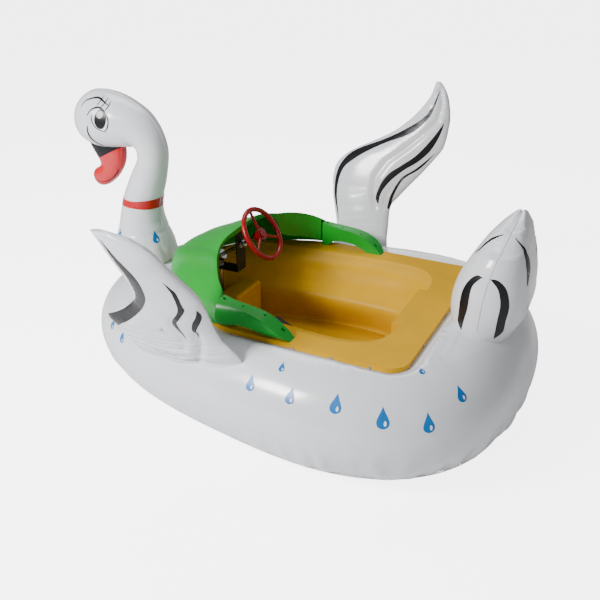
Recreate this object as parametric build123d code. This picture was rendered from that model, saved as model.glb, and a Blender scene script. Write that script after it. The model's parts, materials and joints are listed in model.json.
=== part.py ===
from build123d import *
import math
import os

os.makedirs("parts", exist_ok=True)

# Everything is drawn about the centre of the ring hull: +X to the bow, +Y to port, +Z up, ground at Z 0.
# BOX_SHIFT then moves every node so that the origin is under the middle of the whole boat.
BOX_SHIFT = -69.0
GAP = 0.3

# Ring hull: an egg-shaped tube of elliptical section, thicker at the stern.
RING_LENGTH = 711.1
RING_WIDTH = 440.9
RING_POWER = 2.764
RING_TAPER = 0.25
TUBE_RADIUS = 227.5
TUBE_BOW_LOSS = 13.4
TUBE_FLATNESS = 0.975
TUBE_SINK = 4.0
RING_STATIONS = 14

# Rigid tub: its flange, lip and bowl. Each level is height, centre, half length, half width, power, taper.
RIM_TOP = 436.0
RIM_THICK = 6.0
LIP_DEPTH = 18.0
LIP_WALL = 5.0
RIM_STERN = -602.0
RIM_HALF = 476.0
RIM_SIDE_BOW = 80.0
RIM_SHOULDER = (400.0, 372.0)
RIM_BOW = (545.0, 150.0)
RIM_STERN_RADIUS = 75.0
RIM_BOW_RADIUS = 190.0
RIM_RECESS = 5.0
TUB_WALL = 5.0
FLOOR_BOTTOM = 160.0
FLOOR_THICK = 6.0
TUB_LEVELS = [
    (FLOOR_BOTTOM, 15.0, 462.0, 190.0, 2.6, 0.28),
    (219.0, 5.0, 463.0, 197.0, 2.8, 0.28),
    (330.0, 2.0, 476.0, 226.0, 3.0, 0.25),
    (392.0, 3.0, 486.0, 284.0, 3.8, 0.18),
    (418.0, 6.0, 490.0, 322.0, 4.4, 0.12),
    (RIM_TOP - RIM_THICK, 8.0, 494.0, 358.0, 4.8, 0.10),
    (RIM_TOP, 8.0, 494.0, 370.0, 5.0, 0.10),
]
TONGUE_FRONT = -448.0
TONGUE_HALF = 165.0
TONGUE_DEPTH = 40.0
FLOOR_TOP = FLOOR_BOTTOM + FLOOR_THICK
LIP_BOTTOM = RIM_TOP - LIP_DEPTH

# Rim screws through the lip.
RIM_SCREW_R = 3.0
RIM_SCREW_HEAD_R = 5.5
RIM_SCREW_HEAD = 3.0
RIM_SCREW_X = (-484.0, -345.0, -195.0)
RIM_SCREW_STERN_Y = (-250.0, 0.0, 250.0)
RIM_SCREW_Z = 424.0

# Neck and head: height path X, Z and tube radius, from the base to the brow of the head.
NECK_PATH = [
    (788.0, 300.0, 60.0),
    (796.0, 365.0, 116.0),
    (803.0, 412.0, 144.0),
    (803.0, 456.0, 144.0),
    (803.0, 525.0, 123.0),
    (802.0, 600.0, 99.0),
    (792.0, 673.0, 87.0),
    (773.0, 729.0, 81.0),
    (746.0, 790.0, 75.0),
    (724.0, 850.0, 68.0),
    (718.0, 905.0, 68.0),
    (738.0, 958.0, 73.0),
    (784.0, 996.0, 88.0),
    (846.0, 1012.0, 106.0),
    (912.0, 1019.0, 119.0),
    (976.0, 1021.0, 121.0),
    (1030.0, 1023.0, 104.0),
    (1068.0, 1025.0, 72.0),
    (1089.0, 1027.0, 22.0),
]
BEAK_PROFILE = [
    (862.0, 915.0),
    (872.0, 850.0),
    (908.0, 786.0),
    (955.0, 737.0),
    (1000.0, 719.0),
    (1040.0, 738.0),
    (1047.0, 770.0),
    (1026.0, 798.0),
    (998.0, 822.0),
    (1004.0, 850.0),
    (1040.0, 905.0),
    (1000.0, 960.0),
    (900.0, 960.0),
]
BEAK_HALF = 42.0

# Wings: each station is height along the wing, leading X, trailing X and half thickness.
WING_FOOT_Y = 590.0
WING_FOOT_Z = 380.0
WING_THICK = 46.0
PORT_LEAN = 25.0
PORT_STATIONS = [
    (-130.0, 400.0, -60.0, 30.0),
    (26.0, 472.0, -50.0, 42.0),
    (113.0, 482.0, -8.0, 45.0),
    (170.0, 405.0, 2.0, WING_THICK),
    (231.0, 318.0, 4.0, WING_THICK),
    (321.0, 288.0, 14.0, 44.0),
    (380.0, 291.0, 50.0, 42.0),
    (458.0, 308.0, 96.0, 38.0),
    (521.0, 324.0, 140.0, 28.0),
    (566.0, 338.0, 240.0, 12.0),
]
STARBOARD_LEAN = 18.0
STARBOARD_STATIONS = [
    (-80.0, 150.0, -160.0, 30.0),
    (40.0, 120.0, -140.0, 42.0),
    (120.0, 132.0, -132.0, 45.0),
    (219.0, 163.0, -128.0, WING_THICK),
    (325.0, 181.0, -200.0, WING_THICK),
    (392.0, 168.0, -252.0, 44.0),
    (450.0, 110.0, -292.0, 42.0),
    (503.0, 15.0, -326.0, 40.0),
    (582.0, -112.0, -339.0, 36.0),
    (650.0, -180.0, -338.0, 32.0),
    (726.0, -230.0, -318.0, 26.0),
    (796.0, -247.0, -270.0, 8.0),
]

# Tail plume: each station is height, centre X, half thickness and half width.
TAIL_STATIONS = [
    (380.0, -757.0, 74.0, 124.0),
    (440.0, -760.0, 104.0, 165.0),
    (500.0, -768.0, 127.0, 188.0),
    (560.0, -773.0, 136.0, 198.0),
    (620.0, -778.0, 131.0, 198.0),
    (690.0, -790.0, 112.0, 186.0),
    (760.0, -805.0, 85.0, 155.0),
    (830.0, -820.0, 52.0, 105.0),
    (886.0, -833.0, 18.0, 36.0),
]

# Green cowl: each station is X, base half width, crease Y, crease Z and ridge Z.
COWL_STATIONS = [
    (552.0, 105.0, 70.0, 526.0, 534.0),
    (490.0, 245.0, 112.0, 556.0, 570.0),
    (400.0, 340.0, 165.0, 585.0, 612.0),
    (260.0, 425.0, 245.0, 620.0, 672.0),
    (110.0, 462.0, 432.0, 546.0, 700.0),
]
COWL_BULGE = 42.0
COWL_WALL = 5.0
COWL_EDGE = 6.0
COWL_MOUTH = [
    (430.0, 452.0),
    (400.0, 470.0),
    (350.0, 489.0),
    (300.0, 504.0),
    (266.0, 522.0),
    (250.0, 560.0),
    (226.0, 604.0),
    (180.0, 628.0),
    (100.0, 646.0),
    (0.0, 664.0),
]
COWL_CUT = [
    (120.0, 425.0),
    (150.0, 400.0),
    (189.0, 350.0),
    (221.0, 300.0),
    (247.0, 250.0),
    (265.0, 170.0),
    (249.0, 95.0),
    (240.0, 0.0),
]
ARM_INNER = 425.0
ARM_WIDTH = 43.0
ARM_TOP = [(114.0, 545.0), (20.0, 527.0), (-70.0, 511.0), (-140.0, 472.0), (-178.0, RIM_TOP)]
ARM_ARCH = [(-105.0, RIM_TOP), (-55.0, 460.0), (5.0, 469.0), (55.0, 461.0), (84.0, RIM_TOP)]
ARM_BOW = 114.0
ARM_SCREWS = [(-142.0, 456.0), (98.0, 458.0)]
ARM_HOLES = [(-69.0, 492.0), (21.0, 505.0)]
CONSOLE_SCREW_R = 3.0
CONSOLE_HEAD_R = 7.0
CONSOLE_HEAD = 5.0
ARM_HOLE_R = 5.0

# Steering axis, from the wheel's centre down to the leg's axis.
WHEEL_X = 190.0
WHEEL_Z = 623.0
WHEEL_TILT = 33.0
WHEEL_R = 108.0
WHEEL_RIM_R = 10.5
SPOKE_R = 6.0
SPOKE_START = 19.0
BOSS_R = 27.0
BOSS_DEPTH = 40.0
CAP_R = 16.0
CAP_DEPTH = 5.0
WHEEL_SHAFT_R = 8.0
LEG_X = 405.0
RUN_GAP = 0.05

# Bevel gears with a common apex where the two axes cross.
GEAR_TEETH = 16
GEAR_CONE = 26.0
GEAR_FACE = 10.0
SPIGOT_R = 7.0
TOOTH_TIP_DEG = 3.4
TOOTH_ROOT_DEG = 4.6
TOOTH_WIDTH_SHARE = 0.40
GEAR_HUB = 8.0

# Steering bracket, bushes and collar.
BRACKET_HALF = 34.0
BRACKET_PLATE = 5.0
BRACKET_FRONT = 300.0
SHELF_BOW = 450.0
SHELF_Z = 438.0
BUSH_WALL = 4.0
BUSH_LENGTH = 36.0
COLLAR_R = 14.0
COLLAR_LENGTH = 8.0
BRACKET_BOLT_R = 3.0
BRACKET_BOLT_Y = 22.0

# Drive leg, housing and pod.
LEG_R = 12.5
LEG_BORE = 9.5
HOUSING_OUT = 22.0
HOUSING_BORE = 16.5
HOUSING_TOP = 300.0
HOUSING_FLANGE_R = 38.0
HOUSING_FLANGE = 6.0
HOUSING_BOLT_PCD = 60.0
HOUSING_BOLT_R = 2.5
HOUSING_BUSH = 24.0
SEAL_HEIGHT = 7.0
POD_R = 36.0
POD_Z = 78.0
POD_BOW = 62.0
POD_STERN = -42.0
NOSE_LENGTH = 30.0
PROP_R = 52.0
PROP_HUB_R = 14.0
PROP_LENGTH = 28.0
PROP_BLADES = 3
BLADE_PITCH_DEG = 38.0
PROP_SHAFT_R = 5.0
GUARD_R = 60.0
GUARD_WALL = 3.0
GUARD_LENGTH = 40.0
SKEG_DEPTH = 28.0
SKEG_THICK = 4.0

# Battery, controller and their cover.
BATTERY = (77.0, 181.0, 160.0)
BATTERY_X = 305.0
POST_R = 6.0
POST_HEIGHT = 9.0
STRAP_WIDTH = 25.0
STRAP_THICK = 2.0
COVER_STERN = 258.0
COVER_BOW = 354.0
COVER_HALF = 102.0
COVER_TOP = 358.0
COVER_WALL = 4.0
COVER_LIP = 11.0
COVER_SCREW_X = (284.0, 322.0)
COVER_SCREW_R = 2.0
CONTROLLER = (66.0, 104.0, 22.0)

# Foot pedal.
PEDAL_X = 55.0
PEDAL_LENGTH = 105.0
PEDAL_HALF = 38.0
PEDAL_THICK = 5.0
PEDAL_ANGLE = 24.0
PEDAL_BASE = 5.0
PEDAL_PIN_R = 4.0
PEDAL_PIN_Z = 183.0
SPRING_R = 8.0
SPRING_WIRE = 1.2
SPRING_X = 88.0
SWITCH_X = 118.0

# Air valves and drain plug.
VALVE_R = 12.0
VALVE_LENGTH = 16.0
VALVE_CAP_R = 9.0
VALVE_CAP = 4.0
DRAIN_X = -360.0
DRAIN_R = 12.0
DRAIN_HEAD_R = 20.0
DRAIN_HEAD = 5.0


def save(name, shape):
    export_step(Pos(BOX_SHIFT, 0, 0) * shape, "parts/" + name + ".step")


def egg(angle, centre_x, half_length, half_width, power, taper):
    """A point of a rounded egg outline, at a polar angle in degrees."""
    c = math.cos(math.radians(angle))
    s = math.sin(math.radians(angle))
    reach = (abs(c) ** power + abs(s) ** power) ** (-1 / power)
    x = c * reach
    y = s * reach
    return centre_x + half_length * x, half_width * y * (1 - taper * x)


def egg_face(height, centre_x, half_length, half_width, power, taper, inset=0.0):
    points = []
    for step in range(32):
        x, y = egg(step * 11.25, centre_x, half_length - inset, half_width - inset, power, taper)
        points.append((x, y, height))
    return make_face(Spline(*points, periodic=True))


def ring_centre(angle):
    return egg(angle, 0, RING_LENGTH, RING_WIDTH, RING_POWER, RING_TAPER)


def tube_radii(x):
    across = TUBE_RADIUS - TUBE_BOW_LOSS * x / RING_LENGTH
    return across, across * TUBE_FLATNESS


def tube_section(angle):
    x, y = ring_centre(angle)
    x0, y0 = ring_centre(angle - 0.2)
    x1, y1 = ring_centre(angle + 0.2)
    across, high = tube_radii(x)
    along = Vector(x1 - x0, y1 - y0, 0).normalized()
    out = along.cross(Vector(0, 0, 1))
    plane = Plane(origin=(x, y, high - TUBE_SINK), x_dir=out, z_dir=along)
    return plane * Ellipse(across, high)


def block(x0, x1, y0, y1, z0, z1):
    box = Box(x1 - x0, y1 - y0, z1 - z0)
    return Pos((x0 + x1) / 2, (y0 + y1) / 2, (z0 + z1) / 2) * box


def rod(start, direction, radius, length):
    """A cylinder from a point along a direction."""
    return extrude(Plane(origin=start, z_dir=direction) * Circle(radius), amount=length)


def pipe(start, direction, radius, bore, length):
    ring = Circle(radius) - Circle(bore)
    return extrude(Plane(origin=start, z_dir=direction) * ring, amount=length)


def rim_face(grow=0.0):
    """The flange outline, seen from above, grown or shrunk."""
    shoulder_x, shoulder_y = RIM_SHOULDER
    bow_x, bow_y = RIM_BOW
    corners = [
        (RIM_STERN, RIM_HALF),
        (RIM_SIDE_BOW, RIM_HALF),
        (shoulder_x, shoulder_y),
        (bow_x, bow_y),
    ]
    mirrored = [(x, -y) for x, y in reversed(corners)]
    face = make_face(Polyline(*corners, *mirrored, close=True))
    stern = face.vertices().sort_by(Axis.X)[:2]
    face = fillet(stern, RIM_STERN_RADIUS)
    bow = face.vertices().sort_by(Axis.X)[4:]
    face = fillet(bow, RIM_BOW_RADIUS)
    if grow:
        face = offset(face, amount=grow)
    return face


def rim_prism(z0, z1, grow=0.0):
    return extrude(Pos(0, 0, z0) * rim_face(grow), amount=z1 - z0)


def hull_ring():
    step = 180 / (RING_STATIONS - 1)
    half = loft([tube_section(i * step) for i in range(RING_STATIONS)])
    ring = half + mirror(half, about=Plane.XZ)
    ring -= block(-1200, 1200, -900, 900, -60, 0)
    return ring - rim_prism(LIP_BOTTOM, RIM_TOP + 60, RIM_RECESS)


def neck():
    sections = []
    for i, (x, z, radius) in enumerate(NECK_PATH):
        before = NECK_PATH[max(i - 1, 0)]
        after = NECK_PATH[min(i + 1, len(NECK_PATH) - 1)]
        along = Vector(after[0] - before[0], 0, after[1] - before[1]).normalized()
        plane = Plane(origin=(x, 0, z), x_dir=(0, 1, 0), z_dir=along)
        sections.append(plane * Circle(radius))
    return loft(sections)


def beak():
    outline = make_face(Polyline(*BEAK_PROFILE, close=True))
    return extrude(Plane.XZ.offset(-BEAK_HALF) * outline, amount=2 * BEAK_HALF)


def wing(side, lean, stations):
    rise = math.cos(math.radians(lean))
    out = side * math.sin(math.radians(lean))
    sections = []
    for height, lead, trail, thick in stations:
        foot = (
            (lead + trail) / 2,
            side * WING_FOOT_Y + height * out,
            WING_FOOT_Z + height * rise,
        )
        plane = Plane(origin=foot, x_dir=(1, 0, 0), z_dir=(0, out, rise))
        sections.append(plane * Ellipse((lead - trail) / 2, thick))
    return loft(sections)


def tail():
    sections = []
    for z, x, thick, half in TAIL_STATIONS:
        sections.append(Pos(x, 0, z) * Ellipse(thick, half))
    return loft(sections)


def tub_shell():
    outer = loft([egg_face(*level) for level in TUB_LEVELS])
    floor = TUB_LEVELS[0]
    inner_levels = [(FLOOR_TOP, *floor[1:])] + TUB_LEVELS[1:-1] + [(RIM_TOP + 1, *TUB_LEVELS[-1][1:])]
    inner = loft([egg_face(*level, inset=TUB_WALL) for level in inner_levels])
    lip = rim_prism(LIP_BOTTOM, RIM_TOP) - rim_prism(LIP_BOTTOM - 1, RIM_TOP - RIM_THICK, -LIP_WALL)
    shell = (outer + lip) - inner
    return shell + block(-500, TONGUE_FRONT, -TONGUE_HALF, TONGUE_HALF, RIM_TOP - TONGUE_DEPTH, RIM_TOP)


def cowl_section(x, base, crease_y, crease_z, ridge, inset, foot):
    """One cross-section of the cowl, closed along its foot."""
    half = base - inset
    cy = crease_y - inset
    cz = crease_z - inset
    side = ((half + cy) / 2 + COWL_BULGE, (foot + cz) / 2 + COWL_BULGE / 2)
    edges = [
        Line((-half, foot), (half, foot)),
        ThreePointArc((half, foot), side, (cy, cz)),
        ThreePointArc((cy, cz), (0, ridge - inset), (-cy, cz)),
        ThreePointArc((-cy, cz), (-side[0], side[1]), (-half, foot)),
    ]
    plane = Plane(origin=(x, 0, 0), x_dir=(0, 1, 0), z_dir=(1, 0, 0))
    return plane * make_face(edges)


def cowl_body(inset, foot, stern=0.0):
    sections = []
    for i, (x, base, crease_y, crease_z, ridge) in enumerate(COWL_STATIONS):
        place = x - inset if i == 0 else x
        if i == len(COWL_STATIONS) - 1:
            place -= stern
        sections.append(cowl_section(place, base, crease_y, crease_z, ridge, inset, foot))
    return loft(sections)


def cowl_cut(shift=0.0):
    """The cockpit side of the cowl: all that lies aft of its open edge."""
    port = [(x + shift, y) for x, y in COWL_CUT]
    edge = port + [(x, -y) for x, y in reversed(port[:-1])]
    stern = 60.0
    line = Polyline(edge[-1], (stern, -ARM_INNER), (stern, ARM_INNER), edge[0])
    face = make_face([Spline(*edge), *line.edges()])
    return extrude(Pos(0, 0, RIM_TOP - 40) * face, amount=320)


def cowl_mouth():
    """The opening in the cowl's aft face, run through along the boat."""
    port = COWL_MOUTH
    edge = port + [(-y, z) for y, z in reversed(port[:-1])]
    low = Polyline(edge[-1], (-port[0][0], RIM_TOP - 60), (port[0][0], RIM_TOP - 60), edge[0])
    plane = Plane(origin=(0, 0, 0), x_dir=(0, 1, 0), z_dir=(1, 0, 0))
    return extrude(plane * make_face([Spline(*edge), *low.edges()]), amount=400)


def arm():
    """One arm: the cowl's side carried on aft, cut to the arm's own profile."""
    top = Spline(*ARM_TOP)
    foot = Line(ARM_TOP[-1], ARM_ARCH[0])
    arch = Spline(*ARM_ARCH)
    root = Polyline(ARM_ARCH[-1], (ARM_BOW, RIM_TOP), ARM_TOP[0])
    face = make_face([top, foot, arch, *root.edges()])
    profile = extrude(Plane.XZ.offset(-ARM_INNER) * face, amount=-2 * ARM_WIDTH)
    x, base, crease_y, crease_z, ridge = COWL_STATIONS[-1]
    side = cowl_section(x + 4, base, crease_y, crease_z, ridge, 0, RIM_TOP)
    return profile & extrude(side, amount=-320)


def arm_cuts():
    """Screw holes with their counterbores, and the open grip holes, of both arms."""
    cuts = []
    for side in (1, -1):
        y = side * (ARM_INNER + ARM_WIDTH / 2)
        for x, seat in ARM_SCREWS:
            cuts.append(rod((x, y, RIM_TOP - 10), (0, 0, 1), CONSOLE_SCREW_R + GAP, 200))
            cuts.append(rod((x, y, seat), (0, 0, 1), CONSOLE_HEAD_R + GAP, 200))
        for x, seat in ARM_HOLES:
            cuts.append(rod((x, y, seat - 60), (0, 0, 1), ARM_HOLE_R, 200))
    return cuts


def console():
    outer = cowl_body(0, RIM_TOP)
    inner = cowl_body(COWL_WALL, RIM_TOP - 10, stern=20)
    shell = outer - inner - cowl_cut()
    band = (outer & (cowl_cut(COWL_EDGE) - cowl_cut())) - cowl_mouth()
    body = shell + band
    port = arm()
    body = body + port + mirror(port, about=Plane.XZ)
    for cut in arm_cuts():
        body -= cut
    return body


def console_screws():
    screws = []
    for side in (1, -1):
        y = side * (ARM_INNER + ARM_WIDTH / 2)
        for x, seat in ARM_SCREWS:
            low = RIM_TOP - RIM_THICK - 6
            shank = rod((x, y, low), (0, 0, 1), CONSOLE_SCREW_R, seat - low)
            screws.append(shank + rod((x, y, seat), (0, 0, 1), CONSOLE_HEAD_R, CONSOLE_HEAD))
    return screws


def tub_holes():
    """Clearance holes in the flange, the lip and the floor for all that passes through them."""
    holes = []
    for side in (1, -1):
        for x in RIM_SCREW_X:
            holes.append(rod((x, side * (RIM_HALF + 1), RIM_SCREW_Z), (0, -side, 0), RIM_SCREW_R + GAP, 9))
        for x, _ in ARM_SCREWS:
            y = side * (ARM_INNER + ARM_WIDTH / 2)
            holes.append(rod((x, y, RIM_TOP - 10), (0, 0, 1), CONSOLE_SCREW_R + GAP, 20))
    for y in RIM_SCREW_STERN_Y:
        holes.append(rod((RIM_STERN - 1, y, RIM_SCREW_Z), (1, 0, 0), RIM_SCREW_R + GAP, 9))
    for place in housing_bolt_places():
        holes.append(rod((place.X, place.Y, FLOOR_BOTTOM - 10), (0, 0, 1), HOUSING_BOLT_R + GAP, 20))
    for x, y in cover_screw_places():
        holes.append(rod((x, y, FLOOR_BOTTOM - 10), (0, 0, 1), COVER_SCREW_R + GAP, 20))
    holes.append(rod((LEG_X, 0, FLOOR_BOTTOM - 20), (0, 0, 1), HOUSING_OUT + GAP, 40))
    holes.append(rod((DRAIN_X, 0, FLOOR_BOTTOM - 10), (0, 0, 1), DRAIN_R + GAP, 30))
    return holes


def rim_screws():
    screws = []
    for side in (1, -1):
        for x in RIM_SCREW_X:
            start = (x, side * (RIM_HALF + RIM_SCREW_HEAD), RIM_SCREW_Z)
            head = rod(start, (0, -side, 0), RIM_SCREW_HEAD_R, RIM_SCREW_HEAD)
            screws.append(head + rod(start, (0, -side, 0), RIM_SCREW_R, 14))
    for y in RIM_SCREW_STERN_Y:
        start = (RIM_STERN - RIM_SCREW_HEAD, y, RIM_SCREW_Z)
        head = rod(start, (1, 0, 0), RIM_SCREW_HEAD_R, RIM_SCREW_HEAD)
        screws.append(head + rod(start, (1, 0, 0), RIM_SCREW_R, 14))
    return screws


# The wheel's axis points from the apex of the gears back to the driver.
AXIS = Vector(-math.cos(math.radians(WHEEL_TILT)), 0, math.sin(math.radians(WHEEL_TILT)))
WHEEL = Vector(WHEEL_X, 0, WHEEL_Z)
APEX = WHEEL - AXIS * ((LEG_X - WHEEL_X) / math.cos(math.radians(WHEEL_TILT)))
DOWN = Vector(0, 0, -1)
SHAFT_ANGLE = AXIS.get_angle(DOWN)
PITCH_ANGLE = SHAFT_ANGLE / 2


def on_axis(distance):
    """A point of the wheel's axis, at a distance from the apex."""
    return APEX + AXIS * distance


WHEEL_DISTANCE = (WHEEL - APEX).length


def wheel():
    plane = Plane(origin=WHEEL, x_dir=(0, 1, 0), z_dir=AXIS)
    body = plane * Torus(WHEEL_R, WHEEL_RIM_R)
    hub = WHEEL - AXIS * BOSS_DEPTH
    boss = loft([
        Plane(origin=hub, x_dir=(0, 1, 0), z_dir=AXIS) * Circle(BOSS_R * 0.62),
        Plane(origin=WHEEL, x_dir=(0, 1, 0), z_dir=AXIS) * Circle(BOSS_R),
    ])
    body += boss
    for turn in (30, 150, 270):
        reach = (math.cos(math.radians(turn)), math.sin(math.radians(turn)))
        end = plane.from_local_coords(Vector(reach[0] * WHEEL_R, reach[1] * WHEEL_R, 0))
        start = plane.from_local_coords(Vector(reach[0] * SPOKE_START, reach[1] * SPOKE_START, -8))
        path = end - start
        body += rod(start, path.normalized(), SPOKE_R, path.length)
    return body - rod(WHEEL + AXIS * 5, -AXIS, WHEEL_SHAFT_R, BOSS_DEPTH + 20)


def bevel_gear(axis, bore, start_tooth):
    """A bevel gear that opens away from the apex, with straight tapered teeth."""
    turn_x = Vector(0, 1, 0)
    plane = Plane(origin=APEX, x_dir=turn_x, z_dir=axis)
    pitch = math.radians(PITCH_ANGLE)
    root = pitch - math.radians(TOOTH_ROOT_DEG)
    tip = pitch + math.radians(TOOTH_TIP_DEG)
    near = GEAR_CONE - GEAR_FACE
    rings = []
    for reach in (near, GEAR_CONE):
        centre = APEX + axis * (reach * math.cos(root))
        rings.append(Plane(origin=centre, x_dir=turn_x, z_dir=axis) * Circle(reach * math.sin(root)))
    cone = loft(rings)
    hub = rod(APEX + axis * (GEAR_CONE * math.cos(root)), axis, GEAR_CONE * math.sin(root), GEAR_HUB)
    body = cone + hub
    spread = 360 / GEAR_TEETH
    for tooth in range(GEAR_TEETH):
        middle = (tooth + start_tooth) * spread
        ends = []
        for reach in (near, GEAR_CONE):
            corners = []
            for angle, share in ((root - 0.03, 0.66), (tip, 0.30)):
                half = spread * share * TOOTH_WIDTH_SHARE
                for sign in ((-1, 1) if angle < pitch else (1, -1)):
                    around = math.radians(middle + sign * half)
                    across = reach * math.sin(angle)
                    deep = reach * math.cos(angle)
                    local = Vector(across * math.cos(around), across * math.sin(around), deep)
                    corners.append(plane.from_local_coords(local))
            ends.append(make_face(Polyline(*corners, close=True)))
        body += loft(ends, ruled=True)
    return body - rod(APEX, axis, bore, GEAR_CONE + GEAR_HUB + 10)


def wheel_shaft():
    start = GEAR_CONE * math.cos(math.radians(PITCH_ANGLE))
    return rod(on_axis(start), AXIS, WHEEL_SHAFT_R, WHEEL_DISTANCE - start)


def shaft_bush():
    seat = (LEG_X - BRACKET_FRONT) / math.cos(math.radians(WHEEL_TILT)) - BUSH_LENGTH / 2
    return pipe(on_axis(seat), AXIS, WHEEL_SHAFT_R + BUSH_WALL, WHEEL_SHAFT_R + RUN_GAP, BUSH_LENGTH)


def shaft_collar():
    seat = (LEG_X - BRACKET_FRONT) / math.cos(math.radians(WHEEL_TILT)) + BUSH_LENGTH / 2 + GAP
    return pipe(on_axis(seat), AXIS, COLLAR_R, WHEEL_SHAFT_R, COLLAR_LENGTH)


def bracket():
    inside = cowl_body(COWL_WALL + 0.2, RIM_TOP)
    room = block(BRACKET_FRONT - BRACKET_PLATE, SHELF_BOW, -BRACKET_HALF, BRACKET_HALF, SHELF_Z, 800)
    hollow = block(BRACKET_FRONT, SHELF_BOW - BRACKET_PLATE, -100, 100, SHELF_Z + BRACKET_PLATE, 800)
    skin = inside - Pos(0, 0, -BRACKET_PLATE) * cowl_body(COWL_WALL + 0.2, RIM_TOP)
    window = block(LEG_X - 35, LEG_X + 30, -BRACKET_HALF + 8, BRACKET_HALF - 8, SHELF_Z + 20, 800)
    body = (inside & room) - hollow + (skin & room) - window
    body -= rod(on_axis(0), AXIS, WHEEL_SHAFT_R + BUSH_WALL, 250)
    return body - rod((LEG_X, 0, SHELF_Z - 30), (0, 0, 1), LEG_R + BUSH_WALL, 45)


def leg_top_bush():
    start = (LEG_X, 0, SHELF_Z - 4)
    return pipe(start, (0, 0, 1), LEG_R + BUSH_WALL, LEG_R + RUN_GAP, BRACKET_PLATE + 8)


LEG_TOP = APEX.Z - GEAR_CONE * math.cos(math.radians(PITCH_ANGLE - TOOTH_ROOT_DEG)) - GEAR_HUB


def leg_shaft():
    """A tube from the pod to the gear, closed at the top by a plug with a spigot."""
    low = POD_Z + POD_R - 3
    tube = pipe((LEG_X, 0, low), (0, 0, 1), LEG_R, LEG_BORE, LEG_TOP - low)
    plug = rod((LEG_X, 0, LEG_TOP - 12), (0, 0, 1), LEG_BORE, 12)
    return tube + plug + rod((LEG_X, 0, LEG_TOP), (0, 0, 1), SPIGOT_R, 14)


def leg_housing():
    start = (LEG_X, 0, FLOOR_BOTTOM - 10)
    body = pipe(start, (0, 0, 1), HOUSING_OUT, HOUSING_BORE, HOUSING_TOP - FLOOR_BOTTOM + 10)
    body += pipe((LEG_X, 0, FLOOR_TOP), (0, 0, 1), HOUSING_FLANGE_R, HOUSING_BORE, HOUSING_FLANGE)
    for hole in housing_bolt_places():
        body -= rod((hole.X, hole.Y, FLOOR_TOP - 1), (0, 0, 1), HOUSING_BOLT_R + GAP, 20)
    return body


def housing_bolt_places():
    places = []
    for turn in (45, 135, 225, 315):
        angle = math.radians(turn)
        radius = HOUSING_BOLT_PCD / 2
        places.append(Vector(LEG_X + radius * math.cos(angle), radius * math.sin(angle), 0))
    return places


def housing_bolts():
    bolts = []
    seat = FLOOR_TOP + HOUSING_FLANGE
    for place in housing_bolt_places():
        shank = rod((place.X, place.Y, FLOOR_BOTTOM - 8), (0, 0, 1), HOUSING_BOLT_R, seat - FLOOR_BOTTOM + 8)
        bolts.append(shank + rod((place.X, place.Y, seat), (0, 0, 1), HOUSING_BOLT_R * 1.8, 3))
    return bolts


def leg_bushes():
    low = FLOOR_BOTTOM - 10 + SEAL_HEIGHT
    return [
        pipe((LEG_X, 0, low), (0, 0, 1), HOUSING_BORE, LEG_R + RUN_GAP, HOUSING_BUSH),
        pipe((LEG_X, 0, HOUSING_TOP - HOUSING_BUSH), (0, 0, 1), HOUSING_BORE, LEG_R + RUN_GAP, HOUSING_BUSH),
    ]


def leg_seal():
    return pipe((LEG_X, 0, FLOOR_BOTTOM - 10), (0, 0, 1), HOUSING_BORE, LEG_R + 0.1, SEAL_HEIGHT)


def motor_pod():
    body = rod((LEG_X + POD_STERN, 0, POD_Z), (1, 0, 0), POD_R, POD_BOW - POD_STERN)
    body += rod((LEG_X, 0, POD_Z), (0, 0, 1), LEG_R + 6, POD_R + 12)
    body -= rod((LEG_X, 0, POD_Z + POD_R - 3), (0, 0, 1), LEG_R, 30)
    return body - rod((LEG_X + POD_STERN - 1, 0, POD_Z), (1, 0, 0), PROP_SHAFT_R + RUN_GAP, 31)


def pod_nose():
    start = LEG_X + POD_BOW
    return loft([
        Plane(origin=(start, 0, POD_Z), z_dir=(1, 0, 0)) * Circle(POD_R),
        Plane(origin=(start + NOSE_LENGTH * 0.6, 0, POD_Z), z_dir=(1, 0, 0)) * Circle(POD_R * 0.8),
        Plane(origin=(start + NOSE_LENGTH, 0, POD_Z), z_dir=(1, 0, 0)) * Circle(POD_R * 0.3),
    ])


PROP_START = LEG_X + POD_STERN - 4


def propeller():
    body = rod((PROP_START, 0, POD_Z), (-1, 0, 0), PROP_HUB_R, PROP_LENGTH)
    middle = PROP_START - PROP_LENGTH / 2
    for blade in range(PROP_BLADES):
        shape = Ellipse(11, (PROP_R - PROP_HUB_R + 4) / 2)
        up = Pos(0, (PROP_R + PROP_HUB_R - 4) / 2, 0) * shape
        plate = extrude(up, amount=1.5, both=True)
        plate = Rot(0, BLADE_PITCH_DEG, 0) * plate
        body += Pos(middle, 0, POD_Z) * (Rot(blade * 360 / PROP_BLADES, 0, 0) * plate)
    body &= rod((PROP_START, 0, POD_Z), (-1, 0, 0), PROP_R, PROP_LENGTH)
    return body - rod((PROP_START + 1, 0, POD_Z), (-1, 0, 0), PROP_SHAFT_R, PROP_LENGTH + 2)


def prop_shaft():
    return rod((LEG_X + POD_STERN + 28, 0, POD_Z), (-1, 0, 0), PROP_SHAFT_R, 28 + 4 + PROP_LENGTH + 7)


def prop_nut():
    start = (PROP_START - PROP_LENGTH, 0, POD_Z)
    nut = extrude(Plane(origin=start, z_dir=(-1, 0, 0)) * RegularPolygon(9, 6), amount=7)
    return nut - rod(start, (-1, 0, 0), PROP_SHAFT_R, 8)


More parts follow.
